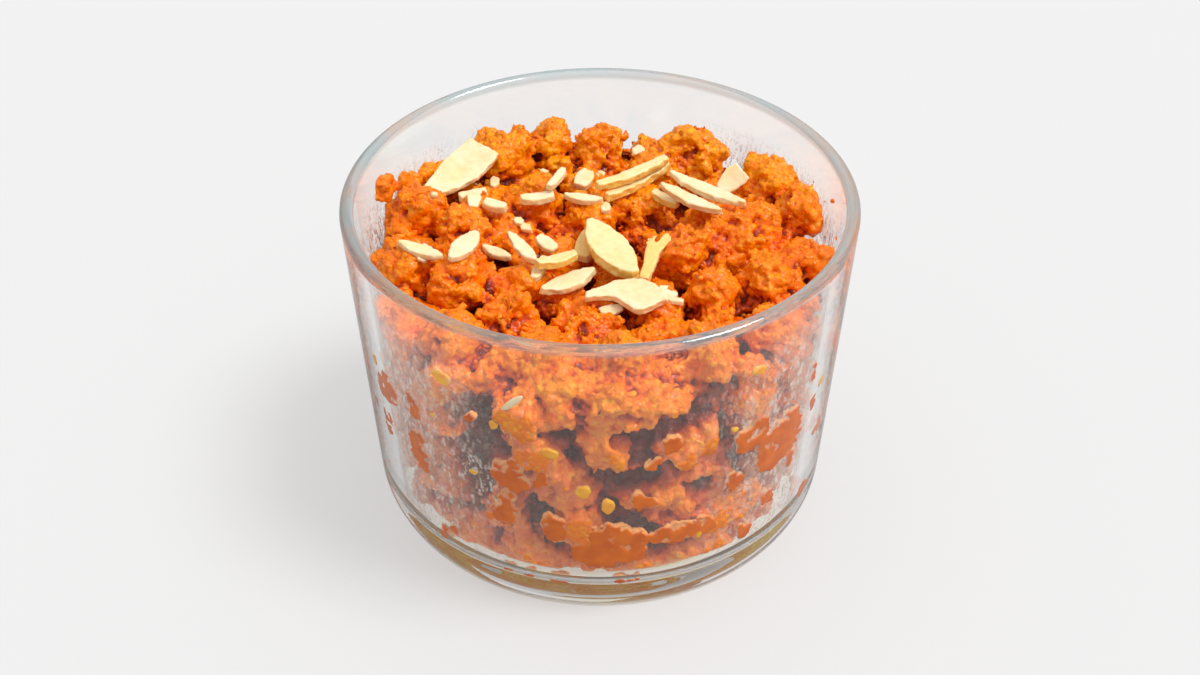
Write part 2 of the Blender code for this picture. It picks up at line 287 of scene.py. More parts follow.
view = {
    "place": (0.0, -234.88 * mm, 215.55 * mm),
    "aim": (0.0, 0.0, 33.1 * mm),
    "lens": 48.0,
    "floorSide": 6.0,
    "floorColour": (0.31, 0.31, 0.31, 1.0),
    "floorGlow": 0.455,
    "glowUnderBowl": 0.37,
    "glowEdges": (12.0 * mm, 28.0 * mm),
    "glowOnObject": 0.30,            # the share of that glow that reaches the bowl and what it holds
    "sunFrom": (62.0, -16.0, 100.0),
    "sunPower": 2.1,
    "sunSoftness": math.radians(24.0),
    "skyPower": 0.75,
}


def makeView():
    cameraData = bpy.data.cameras.new("camera")
    cameraData.lens = view["lens"]
    cameraData.clip_start = 0.01
    camera = bpy.data.objects.new("camera", cameraData)
    camera.location = view["place"]
    towards = Vector(view["aim"]) - Vector(view["place"])
    camera.rotation_euler = towards.to_track_quat("-Z", "Y").to_euler()
    bpy.context.scene.collection.objects.link(camera)
    bpy.context.scene.camera = camera
    bpy.context.scene.view_settings.view_transform = "Standard"

    deselectAll()
    bpy.ops.mesh.primitive_plane_add(size=view["floorSide"], location=(0.0, 0.0, 0.0))
    floor = bpy.context.object
    floor.name = "floor"
    material, tree, shader, where = newMaterial("paleFloor")
    setInputs(shader, Base_Color=view["floorColour"], Roughness=0.9, Emission_Color=grey(1.0))
    # the pale floor glows a little, less so under the bowl, where that paints a soft shadow
    away = distanceFrom(tree, where)
    glow = ranged(tree, away, *view["glowEdges"], view["glowUnderBowl"], view["floorGlow"])
    path = addNode(tree, "ShaderNodeLightPath").outputs
    share = ranged(tree, path["Is Reflection Ray"], 0.0, 1.0, 1.0, view["glowOnObject"], smooth=False)
    tree.links.new(combined(tree, "MULTIPLY", glow, share), shader.inputs["Emission Strength"])
    floor.data.materials.append(material)

    sunData = bpy.data.lights.new("key", "SUN")
    sunData.energy = view["sunPower"]
    sunData.angle = view["sunSoftness"]
    sun = bpy.data.objects.new("key", sunData)
    sun.rotation_euler = (-Vector(view["sunFrom"])).to_track_quat("-Z", "Y").to_euler()
    bpy.context.scene.collection.objects.link(sun)

    # a pale sky with a darker band low down, which draws the edges of the glass
    world = bpy.data.worlds.new("studio")
    world.use_nodes = True
    bpy.context.scene.world = world
    tree = world.node_tree
    background = tree.nodes["Background"]
    height = channels(tree, addNode(tree, "ShaderNodeTexCoord").outputs["Generated"])["Z"]
    sky = ramp(tree, height, (0.0, grey(0.62)), (0.06, grey(0.42)), (0.30, grey(0.60)),
               (0.62, grey(1.0)), (1.0, grey(1.4)))
    tree.links.new(sky, background.inputs["Color"])
    background.inputs["Strength"].default_value = view["skyPower"]
    print("scene: camera, floor and light")


# glass bowl: one ring of corners, extruded and resized along the wall's outline

bowl = {
    "sides": 192,
    "height": 65.5 * mm,
    "rimRadius": 45.0 * mm,
    "rimWall": 2.4 * mm,
    "outerLean": math.radians(2.9),
    "cornerRadius": 11.8 * mm,
    "cornerTurn": math.radians(65.0),
    "heelRadius": 3.0 * mm,
    "heelRing": 34.2 * mm,
    "footRingWidth": 2.4 * mm,
    "puntRun": 2.0 * mm,
    "puntDepth": 1.2 * mm,
    "floor": 8.0 * mm,
    "innerFoot": 39.4 * mm,
    "innerFillet": 5.5 * mm,
    "support": 0.6 * mm,
    "turnsInside": 4.5,
    "paleRim": 0.42,                 # how much of the rim is painted pale, as painted reflection
    "paleEdges": (63.6 * mm, 64.6 * mm),
    "amberEdges": (6.0 * mm, 9.0 * mm),
    "clearFoot": 0.75,               # how much of the lowest edge shows the bright floor straight through
    "footEdges": (4.4 * mm, 7.0 * mm),
}


def innerLean():
    rise = bowl["height"] - bowl["rimWall"] / 2 - bowl["floor"] - bowl["innerFillet"]
    return math.atan2(bowl["rimRadius"] - bowl["rimWall"] - bowl["innerFoot"], rise)


def wallRadius(z):
    # radius of the bowl's inside at a height
    filletTop = bowl["floor"] + bowl["innerFillet"]
    if z < filletTop:
        drop = min(filletTop - z, bowl["innerFillet"])
        return bowl["innerFoot"] - bowl["innerFillet"] + math.sqrt(bowl["innerFillet"] ** 2 - drop ** 2)
    rimZ = bowl["height"] - bowl["rimWall"] / 2
    return bowl["rimRadius"] - bowl["rimWall"] - (rimZ - z) * math.tan(innerLean())


def arcPoints(centreR, centreZ, radius, start, end, pieces):
    steps = [start + (end - start) * i / pieces for i in range(pieces + 1)]
    return [(centreR + radius * math.cos(a), centreZ + radius * math.sin(a)) for a in steps]


def bowlOutline():
    b = bowl
    halfRim = b["rimWall"] / 2
    rimZ = b["height"] - halfRim
    near = b["support"]
    lean = b["outerLean"]
    fillet = arcPoints(b["innerFoot"] - b["innerFillet"], b["floor"] + b["innerFillet"], b["innerFillet"],
                       math.radians(-90.0), -innerLean(), 10)
    rim = arcPoints(b["rimRadius"] - halfRim, rimZ, halfRim, math.pi, 0.0, 14)
    step = b["cornerRadius"] - b["heelRadius"]
    cornerR = b["heelRing"] - step * math.cos(b["cornerTurn"])
    cornerZ = b["heelRadius"] + step * math.sin(b["cornerTurn"])
    corner = arcPoints(cornerR, cornerZ, b["cornerRadius"], -lean, -b["cornerTurn"], 12)
    heel = arcPoints(b["heelRing"], b["heelRadius"], b["heelRadius"],
                     -b["cornerTurn"], math.radians(-90.0), 6)
    foot = b["heelRing"] - b["footRingWidth"]
    outline = [(fillet[0][0] * 0.5, b["floor"]), (fillet[0][0] - near, b["floor"])] + fillet
    outline += [(wallRadius(fillet[-1][1] + near), fillet[-1][1] + near)]
    outline += [(wallRadius(rimZ - near), rimZ - near)] + rim
    outline += [(b["rimRadius"] - near * math.tan(lean), rimZ - near)]
    outline += [(corner[0][0] + near * math.tan(lean), corner[0][1] + near)] + corner + heel[1:]
    outline += [(foot, 0.0), (foot - b["puntRun"], b["puntDepth"])]
    outline += [(foot - b["puntRun"] - near, b["puntDepth"]), (foot * 0.5, b["puntDepth"])]
    return outline


def ringWall(outline, sides, name):
    # each point of the outline is one ring, extruded from the one before it
    deselectAll()
    bpy.ops.mesh.primitive_circle_add(vertices=sides, radius=outline[0][0], fill_type="NOTHING",
                                      location=(0.0, 0.0, outline[0][1]))
    piece = bpy.context.object
    piece.name = name
    bpy.ops.object.mode_set(mode="EDIT")
    for (r, z), (nextR, nextZ) in zip(outline, outline[1:]):
        bpy.ops.mesh.extrude_region_move(TRANSFORM_OT_translate={"value": (0.0, 0.0, nextZ - z)})
        share = nextR / r
        bpy.ops.transform.resize(value=(share, share, 1.0), center_override=(0.0, 0.0, nextZ))
    return piece


def makeGlass():
    piece = ringWall(bowlOutline(), bowl["sides"], "clear_bowl")
    bpy.ops.mesh.edge_face_add()
    bpy.ops.mesh.select_all(action="DESELECT")
    bpy.ops.mesh.select_non_manifold()
    bpy.ops.mesh.edge_face_add()
    bpy.ops.mesh.select_all(action="SELECT")
    bpy.ops.mesh.normals_make_consistent(inside=False)
    bpy.ops.object.mode_set(mode="OBJECT")
    placeInMesh(piece)

    material, tree, shader, where = newMaterial("clearGlass")
    setInputs(shader, Roughness=0.0, IOR=1.50, Transmission_Weight=1.0)
    # the thick base is painted amber and yellow in places: a painted reflection of the sweet and painted
    # glints
    height = channels(tree, where)["Z"]
    low = ranged(tree, height, *bowl["amberEdges"], 1.0, 0.0)
    patches = noiseAt(tree, where, 90.0, 3.0)
    amber = ramp(tree, patches, (0.36, (0.97, 0.94, 0.88, 1.0)),
                 (0.50, (0.93, 0.84, 0.70, 1.0)), (0.62, (0.98, 0.90, 0.42, 1.0)))
    tree.links.new(mixed(tree, low, (0.985, 0.995, 0.990, 1.0), amber), shader.inputs["Base Color"])
    # the thick round rim is painted pale, with faint cool and warm tints, as painted reflection from all
    # sides
    pale = addNode(tree, "ShaderNodeBsdfPrincipled")
    tones = noiseAt(tree, where, 55.0, 2.0)
    paleTone = ramp(tree, tones, (0.38, (0.30, 0.44, 0.46, 1.0)),
                    (0.50, (0.42, 0.43, 0.43, 1.0)), (0.62, (0.58, 0.40, 0.28, 1.0)))
    setInputs(pale, Roughness=0.12, IOR=1.8)
    tree.links.new(paleTone, pale.inputs["Base Color"])
    high = ranged(tree, height, *bowl["paleEdges"], 0.0, bowl["paleRim"])
    rimmed = mixedShaders(tree, high, shader.outputs[0], pale.outputs[0])
    # shadows and bounced light pass through, so that what the bowl holds is lit
    clear = addNode(tree, "ShaderNodeBsdfTransparent")
    clear.inputs["Color"].default_value = (0.99, 0.985, 0.97, 1.0)
    path = addNode(tree, "ShaderNodeLightPath").outputs
    through = combined(tree, "MAXIMUM", path["Is Shadow Ray"], path["Is Diffuse Ray"])
    # light that has turned inside the wall often enough leaves it, so that the rim isn't black
    deep = combined(tree, "GREATER_THAN", path["Ray Depth"], bowl["turnsInside"])
    through = combined(tree, "MAXIMUM", through, deep)
    # the lowest edge shows a bright line of floor
    foot = ranged(tree, height, *bowl["footEdges"], bowl["clearFoot"], 0.0)
    outside = combined(tree, "GREATER_THAN", distanceFrom(tree, where), bowl["heelRing"])
    through = combined(tree, "MAXIMUM", through, combined(tree, "MULTIPLY", foot, outside))
    surface = mixedShaders(tree, through, rimmed, clear.outputs[0])
    tree.links.new(surface, tree.nodes["Material Output"].inputs["Surface"])
    dress(piece, material, "glass", "glass_bowl")
    print("scene: glass bowl", len(piece.data.polygons), "faces")


# crumbs: a few uneven lumps, spread by nodes and turned into mesh

def makeLump(name, width, detail, unevenness, seed):
    deselectAll()
    bpy.ops.mesh.primitive_ico_sphere_add(subdivisions=detail, radius=width / 2)
    lump = bpy.context.object
    lump.name = name
    bpy.ops.object.mode_set(mode="EDIT")
    bpy.ops.mesh.select_all(action="SELECT")
    bpy.ops.transform.vertex_random(offset=unevenness * width, seed=seed)
    dice = random.Random(seed)
    bpy.ops.transform.resize(value=(dice.uniform(0.8, 1.2), dice.uniform(0.7, 1.1), dice.uniform(0.6, 0.95)))
    bpy.ops.object.mode_set(mode="OBJECT")
    return lump


def scatterOn(target, lumps, density, sizes, seed, keep=True, facing=-2.0):
    # each scattered lump keeps a random number of its own in the attribute "shade"
    group = bpy.data.collections.new("lumps")
    for lump in lumps:
        group.objects.link(lump)
    tree = bpy.data.node_groups.new("spread", "GeometryNodeTree")
    tree.interface.new_socket("Geometry", in_out="INPUT", socket_type="NodeSocketGeometry")
    tree.interface.new_socket("Geometry", in_out="OUTPUT", socket_type="NodeSocketGeometry")
    start = addNode(tree, "NodeGroupInput").outputs[0]
    normal = addNode(tree, "GeometryNodeInputNormal").outputs[0]
    chosen = addNode(tree, "FunctionNodeCompare", data_type="FLOAT", operation="GREATER_THAN")
    feed(tree, chosen, {0: channels(tree, normal)["Z"], 1: facing})
    points = addNode(tree, "GeometryNodeDistributePointsOnFaces", distribute_method="RANDOM")
    feed(tree, points, {"Mesh": start, "Selection": chosen.outputs[0], "Density": density, "Seed": seed})
    source = addNode(tree, "GeometryNodeCollectionInfo")
    setInputs(source, Collection=group, Separate_Children=True, Reset_Children=True)
    size = addNode(tree, "FunctionNodeRandomValue", data_type="FLOAT")
    feed(tree, size, {2: sizes[0], 3: sizes[1], "Seed": seed + 1})
    turn = addNode(tree, "FunctionNodeRandomValue", data_type="FLOAT_VECTOR")
    feed(tree, turn, {1: (math.tau,) * 3, "Seed": seed + 2})
    instances = addNode(tree, "GeometryNodeInstanceOnPoints")
    feed(tree, instances, {"Points": points.outputs["Points"], "Instance": source.outputs[0],
                           "Pick Instance": True, "Rotation": turn.outputs[0], "Scale": size.outputs[1]})
    shade = addNode(tree, "FunctionNodeRandomValue", data_type="FLOAT")
    feed(tree, shade, {"Seed": seed + 3})
    store = addNode(tree, "GeometryNodeStoreNamedAttribute", data_type="FLOAT", domain="INSTANCE")
    feed(tree, store, {"Name": "shade", "Value": shade.outputs[1], "Geometry": instances.outputs[0]})
    real = addNode(tree, "GeometryNodeRealizeInstances")
    feed(tree, real, {0: store.outputs[0]})
    together = addNode(tree, "GeometryNodeJoinGeometry")
    feed(tree, together, {0: real.outputs[0]})
    if keep:
        feed(tree, together, {0: start})
    feed(tree, addNode(tree, "NodeGroupOutput"), {0: together.outputs[0]})
    modifier = target.modifiers.new("spread", "NODES")
    modifier.node_group = tree
    applyAll(target)
    bpy.data.node_groups.remove(tree)
    bpy.data.collections.remove(group)


# halwa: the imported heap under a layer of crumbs, remeshed so that they fuse, then given its grain

halwa = {
    "crumbsPerMetre": 110000.0,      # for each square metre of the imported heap's surface
    "crumbWidth": 1.0 * mm,
    "crumbSizes": (0.8, 2.2),
    "crumbKinds": 6,
    "seed": 5,
    "foldVoxel": 1.0 * mm,
    "foldRounds": 70,
    "foldShare": 0.55,
    "topVoxel": 0.40 * mm,
    "sideVoxel": 0.50 * mm,
    "cutHeight": 45.0 * mm,
    "overlap": 0.8 * mm,
    "intoWall": 0.05 * mm,
    "hiddenBelow": 34.0 * mm,        # radius inside which the cut between the halves is out of sight
    "hiddenAbove": 26.0 * mm,
    "hiddenReach": 3.0 * mm,
    "mostTriangles": 192000,
    "intoFloor": 0.05 * mm,
    "underGap": 0.12 * mm,           # between the pools where the sweet touches the floor of the bowl
    "poolGrain": 11.0 * mm,
    "poolShare": 0.05,
    "flatBottom": 1.6 * mm,
    "cornerTop": 13.8 * mm,          # below this the sweet stands a little clear of the glass
    "cornerGap": 2.1 * mm,
    "cornerRun": 1.5 * mm,
    "almondGap": 0.10 * mm,
    "almondReach": 12 * mm,          # how far up a corner looks for an almond to stay under
    "flankGap": 0.6 * mm,            # the sweet stands back from the beaded glass at the two flanks
    "flank": (24.0 * mm, 36.0 * mm),
    # hollows against the glass: angle, height, width, height of each, depth
    "hollows": ((-70.5, 45.0, 12.0, 6.5, 11.0), (-74.4, 43.7, 5.5, 8.0, 6.5), (-122.3, 42.5, 12.0, 8.0, 7.5),
                (-122.3, 31.5, 8.5, 13.0, 7.5), (-81.0, 43.5, 9.0, 4.5, 6.5), (-78.9, 32.4, 9.5, 6.5, 7.0),
                (-104.3, 23.6, 7.5, 5.5, 6.0), (-64.2, 28.9, 7.0, 5.5, 6.0), (-89.2, 55.5, 3.5, 5.0, 5.0),
                (-95.8, 39.0, 5.0, 7.5, 5.5)),
    "hollowsBelow": 58.0 * mm,
    "hollowGrain": 9.0 * mm,
    "hollowDepth": 7.0 * mm,
    "hollowsBehindBelow": 50.0 * mm,
    "hollowEdge": (0.72, 0.20),      # of the wall's radius: where hollows begin, and how soon they are full
    "hollowsAbove": 12.0 * mm,
    "hollowsInFront": (-15.0 * mm, 0.30),    # nearer than this the unstated ones are this much as deep
    "pitRounds": ((25, 0.35), (140, 0.60)),  # smoothing rounds and their share in "pit"
    "hollowPit": (2.2, 0.30, 0.75),          # mm from the wall, "pit" for each mm more, and the most
    "hollowPitHeights": (12.0 * mm, 50.0 * mm),
    "hollowPitFade": 5.0 * mm,
    # kind, grain and depth in mm, and middle of each relief
    "reliefs": (("CLOUDS", 7.0, 3.4, 0.5), ("CLOUDS", 2.6, 1.9, 0.5), ("VORONOI", 2.0, -0.7, 0.3),
                ("VORONOI", 1.1, -0.80, 0.3), ("CLOUDS", 0.7, 0.45, 0.5)),
}


def smoothed(piece, rounds):
    # the corners of a smoothed copy
    soft = twinOf(piece, "soft")
    soften(soft, 0.8, rounds)
    applyAll(soft)
    places = cornersOf(soft)
    remove(soft)
    return places


def markPits(piece):
    # "pit" is above 0 in pits and folds, and under 0 on knobs, in mm; the colour paints shade by it
    places = cornersOf(piece)
    normals = np.empty(len(places) * 3)
    piece.data.vertices.foreach_get("normal", normals)
    normals = normals.reshape(-1, 3)
    depths = np.zeros(len(places))
    for rounds, share in halwa["pitRounds"]:
        depths += share * ((smoothed(piece, rounds) - places) * normals).sum(axis=1) / mm
    # hollows behind the glass count as pits too, and get the same painted shade
    begins, gain, most = halwa["hollowPit"]
    bottom, top = halwa["hollowPitHeights"]
    for i, (x, y, z) in enumerate(places):
        if bottom < z < top:
            behind = (wallRadius(z) - math.hypot(x, y)) / mm
            edge = min(1.0, (top - z) / halwa["hollowPitFade"])
            depths[i] = max(depths[i], min(most, (behind - begins) * gain) * edge)
    markCorners(piece, "pit", depths)


def halwaMaterial():
    material, tree, shader, where = newMaterial("moistHalwa")
    grains = bentCells(tree, where, where, 700.0, 2.0, 0.0010, 1250.0)[0]
    grainTone = channels(tree, grains["Color"], "ShaderNodeSeparateColor")[0]
    colour = ramp(tree, grainTone, (0.0, (0.92, 0.188, 0.0005, 1.0)), (0.5, (0.98, 0.228, 0.0005, 1.0)),
                  (0.85, (1.0, 0.275, 0.001, 1.0)), (1.0, (1.0, 0.35, 0.004, 1.0)))
    broad = noiseAt(tree, where, 130.0, 3.0)
    tone = ramp(tree, broad, (0.34, (0.90, 0.72, 0.60, 1.0)), (0.56, grey(1.0)))
    colour = mixed(tree, 0.75, colour, tone, "MULTIPLY")
    # painted shade: folds, pits and hollows are darkened to deep red and near black
    depth = ranged(tree, attributeOf(tree, "pit"), -1.0, 1.0, smooth=False)
    shade = ramp(tree, depth, (0.42, grey(1.0)), (0.57, (0.95, 0.76, 0.60, 1.0)),
                 (0.69, (0.70, 0.34, 0.40, 1.0)), (0.80, (0.34, 0.10, 0.28, 1.0)),
                 (0.92, (0.14, 0.04, 0.22, 1.0)))
    colour = mixed(tree, 1.0, colour, shade, "MULTIPLY")
    # painted light: the knobs at the back, against the front wall and higher up are lighter and yellower
    place = channels(tree, where)
    back = ranged(tree, place["Y"], 2.0 * mm, 24.0 * mm)
    front = ranged(tree, place["Y"], -26.0 * mm, -34.0 * mm, 0.0, 0.6)
    upper = ranged(tree, place["Z"], 34.0 * mm, 52.0 * mm, 0.3)
    paintedLight = combined(tree, "MULTIPLY", combined(tree, "MAXIMUM", back, front), upper)
    knobs = mixed(tree, 1.0, colour, (1.0, 1.28, 1.0, 1.0), "MULTIPLY")
    colour = mixed(tree, paintedLight, colour, knobs)
    # what shows through the floor of the bowl is amber and yellow: partly oil, partly painted glints and
    # painted light
    low = ranged(tree, place["Z"], 8.2 * mm, 9.5 * mm, 1.0, 0.0, smooth=False)
    pools = noiseAt(tree, where, 140.0, 3.0)
    amber = ramp(tree, pools, (0.42, (0.90, 0.34, 0.04, 1.0)), (0.54, (1.0, 0.50, 0.08, 1.0)),
                 (0.66, (1.0, 0.76, 0.16, 1.0)))
    tree.links.new(mixed(tree, low, colour, amber), shader.inputs["Base Color"])
    wet = noiseAt(tree, where, 320.0, 2.0)
    rough = ranged(tree, wet, 0.35, 0.65, 0.12, 0.34, smooth=False)
    tree.links.new(rough, shader.inputs["Roughness"])
    setInputs(shader, IOR=1.33, Coat_Weight=0.2, Coat_Roughness=0.06, Coat_IOR=1.4,
              Subsurface_Weight=0.35, Subsurface_Radius=(1.0, 0.32, 0.10), Subsurface_Scale=0.5 * mm)
    dome = combined(tree, "MULTIPLY", grains["Distance"], grains["Distance"])
    fine = noiseAt(tree, where, 1500.0, 3.0, 0.6)
    first = bump(tree, shader, dome, 0.55, -0.50 * mm)
    bump(tree, shader, fine, 0.25, 0.25 * mm, first)
    return material


def deepenFolds(piece):
    # the folds between clumps go deeper, and the clumps stand out
    places = cornersOf(piece)
    soften(piece, 0.8, halwa["foldRounds"])
    applyAll(piece)
    setCorners(piece, places + (places - cornersOf(piece)) * halwa["foldShare"])


def carveHollows(piece):
    # the heap falls back from the wall in places, at the stated hollows and at others all round
    h = halwa
    places = cornersOf(piece)
    for i, (x, y, z) in enumerate(places):
        r = math.hypot(x, y)
        near = (r / wallRadius(z) - h["hollowEdge"][0]) / h["hollowEdge"][1]
        if near <= 0.0 or z > h["hollowsBelow"] or z < h["hollowsAbove"]:
            continue
        angle = math.degrees(math.atan2(y, x))
        grain = noise.noise(Vector((x, y, z)) / h["hollowGrain"] + Vector((3.7, 1.3, 8.1)))
        behind = h["hollowsInFront"][1] if y < h["hollowsInFront"][0] else 1.0
        if z > h["hollowsBehindBelow"]:
            behind = 0.0
        depth = h["hollowDepth"] * behind * min(1.0, max(0.0, grain * 3.0))
        for a, height, width, tall, deep in h["hollows"]:
            across = math.radians((angle - a + 180.0) % 360.0 - 180.0) * r / (width * mm / 2)
            up = (z - height * mm) / (tall * mm / 2)
            depth = max(depth, deep * mm * max(0.0, 1.0 - (across ** 2 + up ** 2) * 0.7))
        share = (r - depth * min(1.0, near)) / r
        places[i] = (x * share, y * share, z)
    setCorners(piece, places)


def keepInside(piece, tree=None):
    # corners stay inside the glass, a hair into its wall, and under the almonds
    h = halwa
    places = cornersOf(piece)
    for i, (x, y, z) in enumerate(places):
        r = math.hypot(x, y)
        if z < bowl["floor"] + h["flatBottom"]:
            pool = noise.noise(Vector((x, y, 0.0)) / h["poolGrain"]) > h["poolShare"]
            z = bowl["floor"] - h["intoFloor"] if pool else bowl["floor"] + h["underGap"]
        limit = wallRadius(max(z, bowl["floor"] + 0.2 * mm)) + h["intoWall"]
        limit -= h["cornerGap"] * max(0.0, min(1.0, (h["cornerTop"] - z) / h["cornerRun"]))
        flank = (abs(x) - h["flank"][0]) / (h["flank"][1] - h["flank"][0])
        limit -= h["flankGap"] * max(0.0, min(1.0, flank))
        if r > limit:
            x *= limit / r
            y *= limit / r
        if tree:
            start = Vector((x, y, z - h["almondReach"]))
            under = tree.ray_cast(start, Vector((0.0, 0.0, 1.0)), h["almondReach"])[0]
            if under:
                z = min(z, under.z - h["almondGap"])
        places[i] = (x, y, z)
    setCorners(piece, places)


def halfOf(heap, name, height, above):
    half = twinOf(heap, name)
    pick(half)
    bpy.ops.object.mode_set(mode="EDIT")
    bpy.ops.mesh.select_all(action="SELECT")
    bpy.ops.mesh.bisect(plane_co=(0.0, 0.0, height), plane_no=(0.0, 0.0, 1.0), use_fill=True,
                        clear_inner=above, clear_outer=not above)
    bpy.ops.object.mode_set(mode="OBJECT")
    return half


def thinOut(piece, height, above):
    # the hidden faces of the cut go flat, and then the faces that the form needs least are merged
    h = halwa
    places = cornersOf(piece)
    hidden = np.hypot(places[:, 0], places[:, 1]) < (h["hiddenBelow"] if above else h["hiddenAbove"])
    reach = h["hiddenReach"]
    hidden &= places[:, 2] < height + reach if above else places[:, 2] > height - reach
    places[hidden, 2] = height
    setCorners(piece, places)
    piece.data.calc_loop_triangles()
    thin = piece.modifiers.new("thin", "DECIMATE")
    thin.ratio = min(1.0, h["mostTriangles"] / len(piece.data.loop_triangles))
    applyAll(piece)


def makeHalwa(almondTree):
    h = halwa
    heap = copyOfNode("halwa", "heap")
    lumps = [makeLump("crumb" + str(i), h["crumbWidth"], 2, 0.10, h["seed"] + i)
             for i in range(h["crumbKinds"])]
    voxelRemesh(heap, h["foldVoxel"])
    applyAll(heap)
    deepenFolds(heap)
    carveHollows(heap)
    scatterOn(heap, lumps, h["crumbsPerMetre"], h["crumbSizes"], h["seed"])
    remove(*lumps)
    material = halwaMaterial()
    for name, above, voxel in (("halwa_top", True, h["topVoxel"]), ("halwa_side", False, h["sideVoxel"])):
        height = h["cutHeight"] + (-h["overlap"] if above else h["overlap"])
        half = halfOf(heap, name, height, above)
        voxelRemesh(half, voxel)
        for kind, grain, depth, middle in h["reliefs"]:
            relief(half, kind, grain * mm, depth * mm, middle)
        applyAll(half)
        keepInside(half, almondTree if above else None)
        thinOut(half, height, above)
        markPits(half)
        dress(half, material, "halwa", "halwa")
        print("scene:", name, len(half.data.polygons), "faces")
    remove(heap)
    return bpy.data.objects["halwa_top"]


# almonds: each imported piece, worn round and given an uneven outline

almond = {
    "voxel": 0.24 * mm,
    # colours of the broad faces and of the cut edges, and the pieces that have them
    "tones": {"cream": ((0.96, 0.79, 0.52, 1.0), (0.96, 0.76, 0.44, 1.0)),
              "yellow": ((0.96, 0.77, 0.41, 1.0), (0.92, 0.62, 0.15, 1.0)),
              "golden": ((0.95, 0.66, 0.22, 1.0), (0.94, 0.70, 0.34, 1.0))},
    "yellowPieces": ("nut_half", "nut_sliver_c", "nut_sliver_d", "nut_sliver_e", "nut_sliver_h"),
    "goldenPieces": ("nut_fork", "nut_wedge"),
    "reshaped": {"nut_hook": ((6.2, -18.6, 4.6, (0.0, -2.8)), (2.0, -19.0, 1.7, None)),
                 "nut_fork": ((8.4, 0.8, 3.4, (1.3, -1.2)),)},
}


def almondMaterial(name, face, edge):
    material, tree, shader, where = newMaterial(name)
    colour = ramp(tree, attributeOf(tree, "cut"), (0.25, face), (0.85, edge))
    grain = noiseAt(tree, where, 700.0, 4.0, 0.6)
    streak = ramp(tree, grain, (0.30, (0.88, 0.82, 0.66, 1.0)), (0.62, grey(1.0)))
    colour = mixed(tree, 0.8, colour, streak, "MULTIPLY")
    blotch = noiseAt(tree, where, 160.0, 2.0)
    warm = ramp(tree, blotch, (0.42, grey(1.0)), (0.75, (1.0, 0.90, 0.66, 1.0)))
    colour = mixed(tree, 0.8, colour, warm, "MULTIPLY")
    tree.links.new(colour, shader.inputs["Base Color"])
    setInputs(shader, Roughness=0.34, IOR=1.46, Coat_Weight=0.25, Coat_Roughness=0.15,
              Subsurface_Weight=0.30, Subsurface_Radius=(1.0, 0.8, 0.45), Subsurface_Scale=1.0 * mm)
    bump(tree, shader, grain, 0.25, 0.10 * mm)
    return material


def uprightOf(piece):
    # the direction that a slice's broad faces look in
    upright = Vector((0.0, 0.0, 0.0))
    for face in piece.data.polygons:
        normal = face.normal if face.normal.z > 0 else -face.normal
        if normal.z > 0.7:
            upright += normal * face.area
    upright.normalize()
    return upright


def reshape(piece):
    # some outlines are pulled out or notched: x, y, reach, and a shift in x and y, or None for a notch
    places = cornersOf(piece)
    for x, y, reach, shift in almond["reshaped"].get(piece.name, ()):
        middle = np.array((x * mm, y * mm))
        out = places[:, :2] - middle
        far = np.maximum(np.linalg.norm(out, axis=1), 1e-6)
        if shift:
            share = np.clip(1.0 - far / (reach * mm), 0.0, 1.0)
            share = share * share * (3.0 - 2.0 * share)
            places[:, :2] += share[:, None] * np.array(shift) * mm
        else:
            inside = far < reach * mm
            places[inside, :2] = middle + out[inside] / far[inside, None] * reach * mm
    setCorners(piece, places)


def makeAlmonds():
    tones = {name: almondMaterial(name + "Almond", *pair) for name, pair in almond["tones"].items()}
    pieces = []
    for node in sorted(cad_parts):
        if not node.startswith("almond_"):
            continue
        piece = copyOfNode(node, node.replace("almond_", "nut_"))
        upright = uprightOf(piece)
        voxelRemesh(piece, almond["voxel"])
        applyAll(piece)
        reshape(piece)
        edge = piece.vertex_groups.new(name="edge")
        for corner in piece.data.vertices:
            edge.add([corner.index], 1.0 - abs(corner.normal.dot(upright)), "REPLACE")
        uneven = min(1.0, sorted(piece.dimensions)[1] / (6.0 * mm))
        relief(piece, "CLOUDS", 3.0 * mm, 1.3 * mm * uneven, 0.5, "edge")
        relief(piece, "CLOUDS", 1.2 * mm, 0.5 * mm * uneven, 0.5, "edge")
        soften(piece, 0.5, 2)
        relief(piece, "CLOUDS", 1.8 * mm, 0.10 * mm)
        applyAll(piece)
        piece.vertex_groups.clear()
        # "cut" is 0 on the broad faces and 1 on the cut edges
        shares = [1.0 - abs(corner.normal.dot(upright)) for corner in piece.data.vertices]
        markCorners(piece, "cut", shares)
        tone = "yellow" if piece.name in almond["yellowPieces"] else "cream"
        tone = "golden" if piece.name in almond["goldenPieces"] else tone
        dress(piece, tones[tone], "almond", node)
        pieces.append(piece)
    print("scene:", len(pieces), "almond pieces", sum(len(piece.data.polygons) for piece in pieces), "faces")
    return pieces, tones["cream"]


# almond chips: small ones, each laid on the finished heap

chips = {
    # x, y, length, turn in degrees
    "spots": ((-20.0, 22.0, 3.0, 17), (-23.0, 10.5, 4.0, 32), (0.0, 25.0, 3.2, -53), (7.5, 33.5, 4.0, -31),
              (9.0, 22.5, 3.0, 28), (-13.5, 7.5, 3.8, 20), (1.0, 12.0, 4.0, -30), (11.5, -14.5, 3.2, -47),
              (-30.5, -6.5, 4.0, 14), (2.0, -17.6, 4.2, 8), (12.3, -16.2, 4.0, -35), (-10.6, 22.9, 1.6, 60),
              (-16.0, 11.2, 1.6, 10), (-14.9, 8.1, 1.7, 40), (-30.2, 11.4, 1.3, 0)),
    "width": 2.2 * mm,
    "thickness": 0.9 * mm,
    "seed": 17,
}


